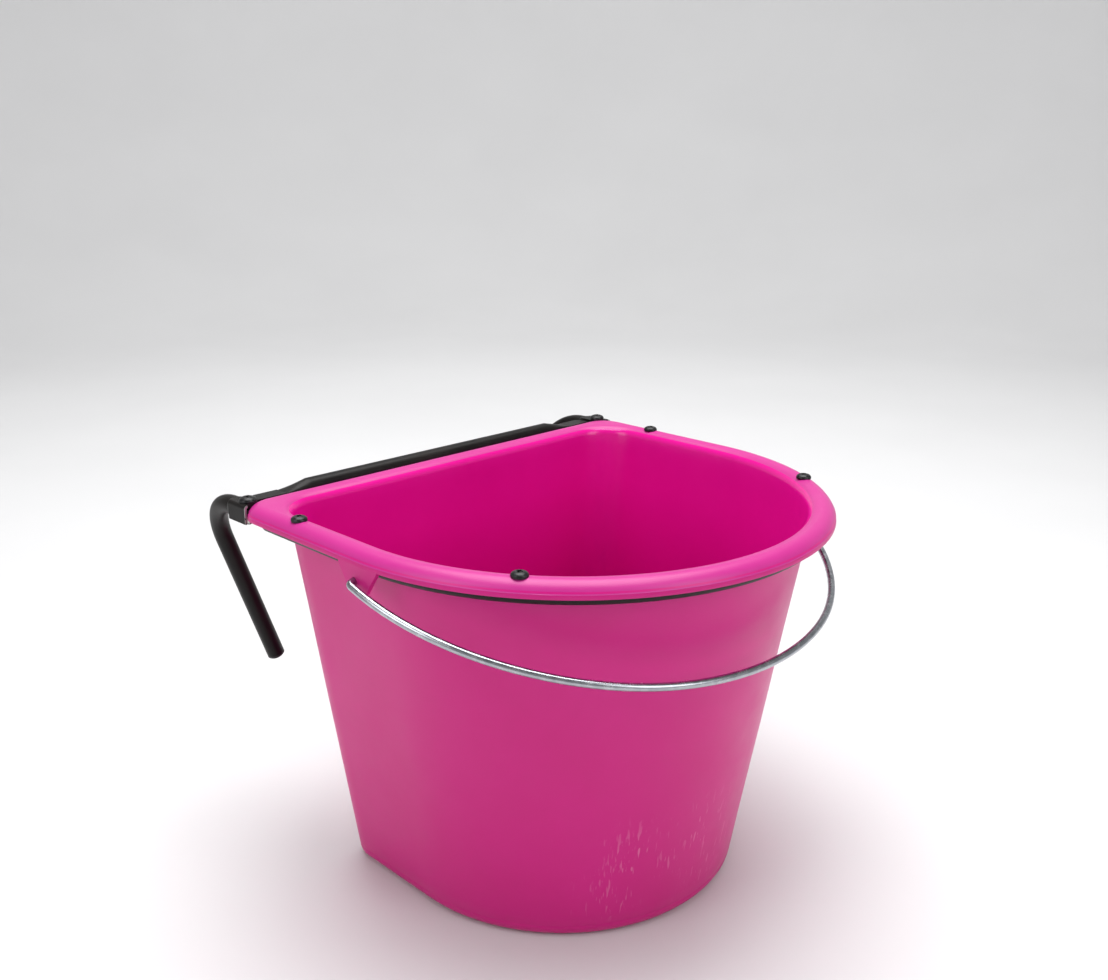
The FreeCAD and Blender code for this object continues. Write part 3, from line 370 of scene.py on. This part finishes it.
def shell_stations():
    """The shell's section as (outline, z, kind) from the middle of the underside, up outside,
    over the rim and down inside to the middle of the floor."""
    stations = []
    for share in (0.12, 0.3, 0.5, 0.7, 0.86):
        stations.append((inset(BASE, (1 - share) * 105), 0.0, "base"))
    for k in range(7):
        a = math.radians(90 * k / 6)
        drop = OUTER_ROUND * (1 - math.sin(a))
        z = OUTER_ROUND * (1 - math.cos(a))
        stations.append((wall_at(z, drop), z, "wall"))
    # The witness line where the base insert met the walls.
    for z, amount in ((WITNESS_Z - 0.5, 0.0), (WITNESS_Z, 0.12), (WITNESS_Z + 0.5, 0.0)):
        stations.append((wall_at(z, amount), z, "wall"))
    under = RIM_TOP_Z - CAP
    start, wall_rows = WITNESS_Z + 0.5, 30
    for k in range(1, wall_rows + 1):
        z = start + (under - 2.5 - start) * k / wall_rows
        stations.append((wall_at(z), z, "wall"))
    stations.append((wall_at(under - 1.0, -0.4), under - 1.0, "wall"))
    stations.append((wall_at(under, -2.0), under, "hidden"))
    for k in range(6):
        a = math.radians(90 * k / 5)
        amount = SKIRT_WALL + HOLLOW_ROUND * (1 - math.sin(a))
        stations.append((inset(RIM, amount), under - HOLLOW_ROUND * (1 - math.cos(a)), "hidden"))
    stations.append((inset(RIM, SKIRT_WALL), SKIRT_Z + 0.5, "hidden"))
    stations.append((inset(RIM, SKIRT_WALL - 0.5), SKIRT_Z, "skirt"))
    stations.append((inset(RIM, 0.5), SKIRT_Z, "skirt"))
    stations.append((inset(RIM, 0.15), SKIRT_Z + 0.15, "skirt"))
    stations.append((inset(RIM, 0.0), SKIRT_Z + 0.5, "skirt"))
    roll_z = RIM_TOP_Z - ROLL
    flash = ((-0.55, "skirt"), (-0.25, "flash"), (0, "flash_top"), (0.25, "flash"), (0.55, "skirt"))
    for rise, kind in flash:
        z = FLASH_Z + rise
        a = math.asin((z - roll_z) / ROLL)
        stations.append((inset(RIM, ROLL * (1 - math.cos(a))), z, kind))
    for angle in (28, 36, 45, 54, 63, 72, 81, 90):
        a = math.radians(angle)
        stations.append((inset(RIM, ROLL * (1 - math.cos(a))), roll_z + ROLL * math.sin(a), "roll"))
    mouth = wall_at(RIM_TOP_Z, WALL)
    crest, land = inset(RIM, ROLL), inset(mouth, -LIP_ROUND)
    stations.append((blend_outline(crest, land, 0.55), RIM_TOP_Z - 0.12, "land"))
    for k in range(9):
        a = math.radians(90 * k / 8)
        z = RIM_TOP_Z - 0.25 - LIP_ROUND * (1 - math.cos(a)) * 0.97
        kind = "land" if k < 4 else "inside"
        stations.append((inset(wall_at(z, WALL), -LIP_ROUND * (1 - math.sin(a))), z, kind))
    top = stations[-1][1]
    bottom = FLOOR_Z + INNER_ROUND
    for k in range(1, 33):
        z = top + (bottom - top) * k / 32
        stations.append((wall_at(z, WALL), z, "inside"))
    for k in range(1, 7):
        a = math.radians(90 * k / 6)
        z = FLOOR_Z + INNER_ROUND * (1 - math.sin(a))
        stations.append((wall_at(z, WALL + INNER_ROUND * (1 - math.cos(a))), z, "inside"))
    floor = wall_at(FLOOR_Z, WALL + INNER_ROUND)
    for share in (0.82, 0.62, 0.42, 0.24, 0.1):
        stations.append((inset(floor, (1 - share) * 95), FLOOR_Z, "inside"))
    return stations


def surface_offset(point, kind):
    """How far a point stands out of its true place, in millimetres: mould flash with its nicks,
    and the faint waviness of a thin moulding, nearly all of it inside the wall's outline."""
    p = Vector(point)
    if kind == "flash_top":
        wave = noise.noise(p * 0.09)
        nick = 0.25 if noise.noise(p * 0.31 + Vector((40, 7, 3))) > 0.44 else 0.0
        return 0.20 + 0.05 * wave + nick
    if kind == "wall":
        return 0.35 * noise.noise(p * 0.011) - 0.25
    if kind == "inside":
        return 0.35 * noise.noise(p * 0.011)
    return 0.0


def make_shell(material, rim_material, inside_material):
    """The plastic moulding as one closed mesh of rings. The inside is more polished. The rim's
    colour is painted darker and greyer than the walls', as painted shade and a painted sheen, and
    the inside's lighter, as painted light."""
    mesh = bmesh.new()
    rings, kinds = [], []
    for outline, z, kind in shell_stations():
        points = d_outline(*outline)
        count = len(points)
        ring = []
        for k, (x, y) in enumerate(points):
            ahead, behind = points[(k + 1) % count], points[k - 1]
            along = Vector((ahead[0] - behind[0], ahead[1] - behind[1])).normalized()
            normal = Vector((-along.y, along.x)) * -1.0
            if normal.dot(Vector((x, y - 10.0))) < 0:
                normal = -normal
            push = surface_offset((x, y, z), kind)
            place = ((x + normal.x * push) * MM, (y + normal.y * push) * MM, z * MM)
            ring.append(mesh.verts.new(place))
        rings.append(ring)
        kinds.append(kind)
    for low, high, kind in zip(rings, rings[1:], kinds):
        count = len(low)
        for k in range(count):
            ahead = (k + 1) % count
            face = mesh.faces.new((low[k], low[ahead], high[ahead], high[k]))
            face.material_index = MATERIAL_OF_KIND.get(kind, 0)
    for ring in (rings[0], rings[-1]):
        centre = sum((v.co for v in ring), Vector()) / len(ring)
        hub = mesh.verts.new(centre)
        for k in range(len(ring)):
            face = mesh.faces.new((ring[k], ring[(k + 1) % len(ring)], hub))
            face.material_index = 2 if ring is rings[-1] else 0
    shell = finish_mesh(mesh, "shell_moulding", material, 50.0)
    shell.data.materials.append(rim_material)
    shell.data.materials.append(inside_material)
    return shell


def side_x(y, amount=0.0):
    """Half width of the rim's outer face at y, set in."""
    radius = RIM[0] - amount
    if y >= RIM[2]:
        return radius
    return math.sqrt(radius * radius - (y - RIM[2]) ** 2)


def make_lug(name, sign, material):
    """One tapered lug in line with the skirt, with rounded edges and the wire's hole."""
    high_z = SKIRT_Z + 1.2
    columns, rows = 16, 10
    mesh = bmesh.new()
    layers = []
    for amount in (0.0, SKIRT_WALL):
        grid = []
        for row in range(rows + 1):
            z = LUG_LOW_Z + (high_z - LUG_LOW_Z) * row / rows
            share = min(1.0, (z - LUG_LOW_Z) / (SKIRT_Z - LUG_LOW_Z))
            width = LUG_BOTTOM_WIDTH + (LUG_TOP_WIDTH - LUG_BOTTOM_WIDTH) * share
            line = []
            for column in range(columns + 1):
                y = LUG_Y - width / 2 + width * column / columns
                line.append(mesh.verts.new((sign * side_x(y, amount) * MM, y * MM, z * MM)))
            grid.append(line)
        layers.append(grid)
    outer, inner = layers
    for grid in layers:
        for row in range(rows):
            for column in range(columns):
                a, b = grid[row][column], grid[row][column + 1]
                mesh.faces.new((a, b, grid[row + 1][column + 1], grid[row + 1][column]))
    border = [(0, c) for c in range(columns + 1)] + [(r, columns) for r in range(1, rows + 1)]
    border += [(rows, c) for c in range(columns - 1, -1, -1)]
    border += [(r, 0) for r in range(rows - 1, 0, -1)]
    for (r1, c1), (r2, c2) in zip(border, border[1:] + border[:1]):
        mesh.faces.new((outer[r1][c1], outer[r2][c2], inner[r2][c2], inner[r1][c1]))
    lug = finish_mesh(mesh, name, material, 40.0)

    hole = bmesh.new()
    radius = LUG_HOLE_RADIUS * MM
    bmesh.ops.create_cone(
        hole, cap_ends=True, segments=48, radius1=radius, radius2=radius, depth=20 * MM
    )
    cutter = finish_mesh(hole, name + "_cutter", material)
    turn = Matrix.Rotation(math.pi / 2, 4, "Y")
    place = Vector((sign * LUG_X * MM, PIVOT[0] * MM, PIVOT[1] * MM))
    cutter.matrix_world = Matrix.Translation(place) @ turn
    apply_boolean(lug, cutter)
    edges = lug.modifiers.new("rounding", "BEVEL")
    edges.width = LUG_EDGE_ROUND * MM
    edges.segments = 3
    edges.limit_method = "ANGLE"
    edges.angle_limit = math.radians(40)
    apply_modifiers(lug)
    return lug


def apply_boolean(obj, cutter):
    """Cuts cutter out of obj and removes it."""
    modifier = obj.modifiers.new("cut", "BOOLEAN")
    modifier.operation = "DIFFERENCE"
    modifier.solver = "EXACT"
    modifier.object = cutter
    apply_modifiers(obj)
    bpy.data.objects.remove(cutter, do_unlink=True)


def apply_modifiers(obj):
    """Replaces obj's mesh by its evaluated mesh."""
    bpy.context.view_layer.update()
    graph = bpy.context.evaluated_depsgraph_get()
    mesh = bpy.data.meshes.new_from_object(obj.evaluated_get(graph))
    old = obj.data
    obj.modifiers.clear()
    obj.data = mesh
    bpy.data.meshes.remove(old)
    for polygon in obj.data.polygons:
        polygon.use_smooth = True


def join(objects, name):
    """One object from several."""
    with bpy.context.temp_override(active_object=objects[0], selected_editable_objects=objects):
        bpy.ops.object.join()
    objects[0].name = name
    return objects[0]


def sweep(points, radius, segments, name, material):
    """A closed rod along a smooth run of points (metres), by parallel transport."""
    mesh = bmesh.new()
    tangents = []
    for k in range(len(points)):
        a, b = points[max(k - 1, 0)], points[min(k + 1, len(points) - 1)]
        tangents.append((b - a).normalized())
    side = tangents[0].orthogonal().normalized()
    rings = []
    for k, point in enumerate(points):
        if k:
            turn = tangents[k - 1].rotation_difference(tangents[k])
            side = (turn @ side).normalized()
        other = tangents[k].cross(side).normalized()
        ring = []
        for s in range(segments):
            a = 2 * math.pi * s / segments
            across, up = radius * math.cos(a), radius * math.sin(a)
            ring.append(mesh.verts.new(point + side * across + other * up))
        rings.append(ring)
    for low, high in zip(rings, rings[1:]):
        for s in range(segments):
            ahead = (s + 1) % segments
            mesh.faces.new((low[s], low[ahead], high[ahead], high[s]))
    mesh.faces.new(rings[0])
    mesh.faces.new(rings[-1])
    return finish_mesh(mesh, name, material, 40.0)


# ------------------------------------------------------------------ bail
def bail_points():
    """The wire's centre line in the bail's own plane, as (across, out), in millimetres."""
    half, leg, turn = BAIL_HALF_WIDTH, BAIL_LEG, BAIL_TURN
    shoulder, height, end_x = BAIL_SHOULDER, BAIL_HEIGHT, BAIL_END_X
    # The middle's arc goes through the top of the bail and touches the shoulder's arc.
    sx, rise = half - shoulder, height - leg
    middle = (sx * sx + rise * rise - shoulder * shoulder) / (2 * (rise - shoulder))
    middle_y = height - middle
    joined = math.atan2(leg - middle_y, sx)
    right = [(end_x + (half - turn - end_x) * k / 12, 0.0) for k in range(12)]
    for k in range(13):
        a = math.radians(-90 + 90 * k / 12)
        right.append((half - turn + turn * math.cos(a), turn + turn * math.sin(a)))
    right += [(half, turn + (leg - turn) * k / 4) for k in (1, 2, 3, 4)]
    for k in range(1, 91):
        a = joined * k / 90
        right.append((sx + shoulder * math.cos(a), leg + shoulder * math.sin(a)))
    for k in range(1, 25):
        a = joined + (math.pi / 2 - joined) * k / 24
        right.append((middle * math.cos(a), middle_y + middle * math.sin(a)))
    return right + [(-x, out) for x, out in reversed(right[:-1])]


def make_bail(material):
    """The bail wire with its two upset ends."""
    tilt = math.radians(BAIL_TILT)
    points = []
    for across, out in bail_points():
        y = PIVOT[0] - out * math.cos(tilt)
        z = PIVOT[1] - out * math.sin(tilt)
        points.append(Vector((across, y, z)) * MM)
    wire = sweep(points, WIRE / 2 * MM, 32, "bail_wire", material)
    heads = []
    for side, sign in SIDES.items():
        face = [(0.0, 0.0), (2.8, 0.0), (3.3, 0.3), (3.5, 0.8)]
        back = [(3.5, 1.4), (3.2, 1.8), (2.4, 2.0), (2.4, 2.4)]
        head = lathe(face + back, 40, "bail_head_" + side, material)
        start = Vector((sign * BAIL_HEAD_X, PIVOT[0], PIVOT[1])) * MM
        head.data.transform(Matrix.Translation(start) @ Matrix.Rotation(sign * math.pi / 2, 4, "Y"))
        heads.append(head)
    return join([wire] + heads, "bail_wire")


def lathe(profile, segments, name, material):
    """A turned piece about Z from (radius, height) pairs in millimetres."""
    mesh = bmesh.new()
    rings = []
    for radius, height in profile:
        if radius < 1e-6:
            rings.append([mesh.verts.new((0, 0, height * MM))])
            continue
        ring = []
        for s in range(segments):
            a = 2 * math.pi * s / segments
            place = (radius * math.cos(a) * MM, radius * math.sin(a) * MM, height * MM)
            ring.append(mesh.verts.new(place))
        rings.append(ring)
    for low, high in zip(rings, rings[1:]):
        for s in range(segments):
            t = (s + 1) % segments
            if len(low) == 1:
                mesh.faces.new((low[0], high[s], high[t]))
            elif len(high) == 1:
                mesh.faces.new((low[s], low[t], high[0]))
            else:
                mesh.faces.new((low[s], low[t], high[t], high[s]))
    for ring in (rings[0], rings[-1]):
        if len(ring) > 1:
            mesh.faces.new(ring)
    return finish_mesh(mesh, name, material, 40.0)


# ------------------------------------------------------------------ fasteners
def make_screw(name, place, seat_z, angle, material, head, height, shank, length, thread):
    """A pan-head screw with a cross recess and a thread. Sizes in millimetres."""
    r, crest, root = head / 2, shank / 2, shank / 2 - 0.35
    rim_z, steps = 0.7, 12
    profile = [(0.0, -length), (shank * 0.2, -length), (root, -length + 2.0)]
    z = -length + 2.0
    while z < -1.2:
        profile += [(root, z), (crest, z + thread * 0.45), (root, z + thread * 0.9)]
        z += thread
    profile += [(crest, -0.6), (crest, 0.0), (r - 0.35, 0.0), (r - 0.05, 0.25), (r, rim_z)]
    for k in range(1, steps + 1):
        a = math.radians(90 * k / steps)
        out = r * math.cos(a) ** 0.75 if k < steps else 0.0
        profile.append((out, rim_z + (height - rim_z) * math.sin(a) ** 0.9))
    cleaned = [profile[0]]
    for point in profile[1:]:
        if (Vector(point) - Vector(cleaned[-1])).length > 1e-4:
            cleaned.append(point)
    screw = lathe(cleaned, 48, name, material)
    cutters = bmesh.new()
    arm, slot = r * 0.50, r * 0.125
    for turn in (0, 90):
        made = bmesh.ops.create_cube(cutters, size=1.0)["verts"]
        for v in made:
            low = v.co.z < 0
            v.co.x *= 2 * arm * (0.45 if low else 1.0)
            v.co.y *= 2 * slot * (0.8 if low else 1.0)
            v.co.z = height - 2.3 if low else height + 1.0
            v.co *= MM
        bmesh.ops.rotate(cutters, verts=made, matrix=Matrix.Rotation(math.radians(turn), 3, "Z"))
    corners = cutters.verts[:]
    for arm_corners in (corners[:8], corners[8:]):
        cutter_mesh = bmesh.new()
        points = [cutter_mesh.verts.new(v.co) for v in arm_corners]
        bmesh.ops.convex_hull(cutter_mesh, input=points)
        apply_boolean(screw, finish_mesh(cutter_mesh, name + "_cutter", material))
    cutters.free()
    sharp_edges(screw, 40.0)
    turned = Matrix.Rotation(math.radians(angle), 4, "Z")
    screw.data.transform(Matrix.Translation(Vector((*place, seat_z)) * MM) @ turned)
    return screw


def sharp_edges(obj, angle):
    """Marks the edges of obj that are sharper than angle, and shades the rest smooth."""
    mesh = bmesh.new()
    mesh.from_mesh(obj.data)
    limit = math.radians(angle)
    for edge in mesh.edges:
        edge.smooth = not (len(edge.link_faces) == 2 and edge.calc_face_angle(0.0) > limit)
    mesh.to_mesh(obj.data)
    mesh.free()


def screw_places():
    """Where the four rim screws stand on the hoop's centre line."""
    angle = math.radians(FRONT_SCREW_ANGLE)
    x, y = HOOP_X * math.cos(angle), HOOP_CENTRE_Y - HOOP_X * math.sin(angle)
    places = {}
    for side, sign in SIDES.items():
        places[side + "_side"] = (sign * HOOP_X, SIDE_SCREW_Y)
        places[side + "_front"] = (sign * x, y)
    return places


# ------------------------------------------------------------------ build
PLASTIC = plastic_material(
    "bucket_pink", (0.61, 0.003, 0.200), (0.65, 0.005, 0.226), 0.34, 0.42, scuffs=True
)
# Painted shade and sheen: the rim's pink is painted darker and greyer than the walls'.
RIM_PLASTIC = plastic_material(
    "bucket_pink_rim_painted_shade", (0.525, 0.021, 0.238), (0.565, 0.027, 0.265), 0.34, 0.42
)
# Painted light: the inside's pink is painted lighter than the walls'; the inside is also smoother.
INSIDE = plastic_material(
    "bucket_pink_inside_painted_light",
    (0.70, 0.003, 0.270),
    (0.75, 0.005, 0.300),
    0.17,
    0.23,
    # painted shade deep inside the bucket
    painted_deep_shade=(0.52, 0.001, 0.185),
)
COAT = coated_steel_material("black_powder_coat")
# The hooks' coat, with a painted highlight on the flange's cut edge.
HOOK_COAT = coated_steel_material("black_powder_coat_hooks", HOOK_CUT_EDGE_Y)
WIRE_METAL = wire_material()
ZINC = zinc_material()
SCREW = screw_material()
PLUG = plug_material()


def put(obj, body, slot, *nodes):
    """Hands a piece over to its body and hides the nodes that it replaces. Its material slot is not
    used.
    """
    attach(obj, body)
    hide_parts(*nodes)


def keep(node, material):
    """A CAD node that stays, with its finish."""
    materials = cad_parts[node].data.materials
    materials.clear()
    materials.append(material)


shell = make_shell(PLASTIC, RIM_PLASTIC, INSIDE)
lugs = [make_lug("lug_" + side, sign, PLASTIC) for side, sign in SIDES.items()]
shell = join([shell] + lugs, "shell_moulding")
put(shell, "bucket", "bucket_plastic", "bucket_shell")

bail = make_bail(WIRE_METAL)
put(bail, "bail", "galvanised_wire", "bail_handle")

for name, place in screw_places().items():
    screw = make_screw(
        "screw_" + name, place, SCREW_SEAT_Z, rng.uniform(0, 90), SCREW, **RIM_SCREW
    )
    put(screw, "bucket", "black_screw", "rim_screw_" + name)
for side, sign in SIDES.items():
    place = (sign * BOLT_PLACE[0], BOLT_PLACE[1])
    bolt = make_screw(
        "bolt_" + side, place, HOOK_TOP_Z, rng.uniform(0, 90), SCREW, **CORNER_BOLT
    )
    put(bolt, "bucket", "black_screw", "corner_bolt_" + side)
    for piece, material in (
        ("corner_washer_", ZINC),
        ("corner_nut_", ZINC),
        ("hook_end_cap_", PLUG),
        ("hook_", HOOK_COAT),
    ):
        keep(piece + side, material)
keep("rim_hoop", COAT)
keep("back_rail", COAT)


# ------------------------------------------------------------------ stage
def make_stage():
    """Plain pale floor that curves up all round, a soft overhead light, and soft lights at the
    left, at the right and on the backdrop."""
    flat, turn, wall_top, segments, drop = 2.3, 1.6, 3.0, 96, 0.0002
    profile = [(share * flat, 0.0) for share in (0.15, 0.4, 0.7, 1.0)]
    for k in range(1, 25):
        a = math.radians(90 * k / 24)
        profile.append((flat + turn * math.sin(a), turn * (1 - math.cos(a))))
    profile.append((flat + turn, wall_top))
    mesh = bmesh.new()
    rings = []
    angles = [2 * math.pi * k / segments for k in range(segments)]
    for radius, height in profile:
        places = [(radius * math.cos(a), radius * math.sin(a), height - drop) for a in angles]
        rings.append([mesh.verts.new(place) for place in places])
    mesh.faces.new(rings[0])
    for low, high in zip(rings, rings[1:]):
        for k in range(segments):
            ahead = (k + 1) % segments
            mesh.faces.new((low[k], low[ahead], high[ahead], high[k]))
    material, tree, shader = new_material("floor_pale")
    grain = noise_node(tree, object_coordinates(tree), 3.0, 2.0, 0.5)
    pale = mix_color(tree, ramp(tree, grain, 0.3, 0.7), (0.74, 0.74, 0.745), (0.76, 0.76, 0.765))
    link(tree, pale, shader.inputs["Base Color"])
    shader.inputs["Roughness"].default_value = 0.8
    shader.inputs["Specular IOR Level"].default_value = 0.1
    floor = finish_mesh(mesh, "floor", material)

    world = bpy.data.worlds.new("studio")
    bpy.context.scene.world = world
    world.use_nodes = True
    background = world.node_tree.nodes["Background"]
    background.inputs["Color"].default_value = (1.0, 1.0, 1.0, 1.0)
    background.inputs["Strength"].default_value = 0.20

    def area(name, place, target, width, depth, energy):
        """A rectangular soft light, turned towards target."""
        light = bpy.data.lights.new(name, "AREA")
        light.shape = "RECTANGLE"
        light.size, light.size_y = width, depth
        light.energy = energy
        obj = bpy.data.objects.new(name, light)
        obj.location = place
        obj.rotation_euler = (Vector(target) - Vector(place)).to_track_quat("-Z", "Y").to_euler()
        bpy.context.scene.collection.objects.link(obj)

    middle = (0, 0, 0.18)
    area("top", (0.15, 0.15, 2.1), middle, 1.7, 1.7, 54.0)
    area("left", (-1.6, 0.25, 1.1), middle, 0.8, 1.2, 8.0)
    area("right", (0.15, -1.6, 1.1), middle, 0.8, 1.2, 9.0)
    area("backdrop", (1.2, 1.2, 2.6), (2.6, 2.6, 0.6), 3.0, 1.0, 30.0)


def make_camera():
    """The main view, from the front left and above."""
    data = bpy.data.cameras.new("camera")
    data.sensor_width = 36.0
    data.lens = 38.73
    data.clip_start, data.clip_end = 0.05, 50.0
    camera = bpy.data.objects.new("camera", data)
    right = Vector((0.70403, -0.71015, 0.00428))
    up = Vector((0.20110, 0.20515, 0.95785))
    back = Vector((-0.68110, -0.67350, 0.28724))
    basis = Matrix((right, up, back)).transposed().to_4x4()
    camera.matrix_world = Matrix.Translation(Vector((-573.4, -541.9, 512.0)) * MM) @ basis
    bpy.context.scene.collection.objects.link(camera)
    bpy.context.scene.camera = camera


make_stage()
make_camera()
bpy.context.scene.view_settings.view_transform = "Standard"
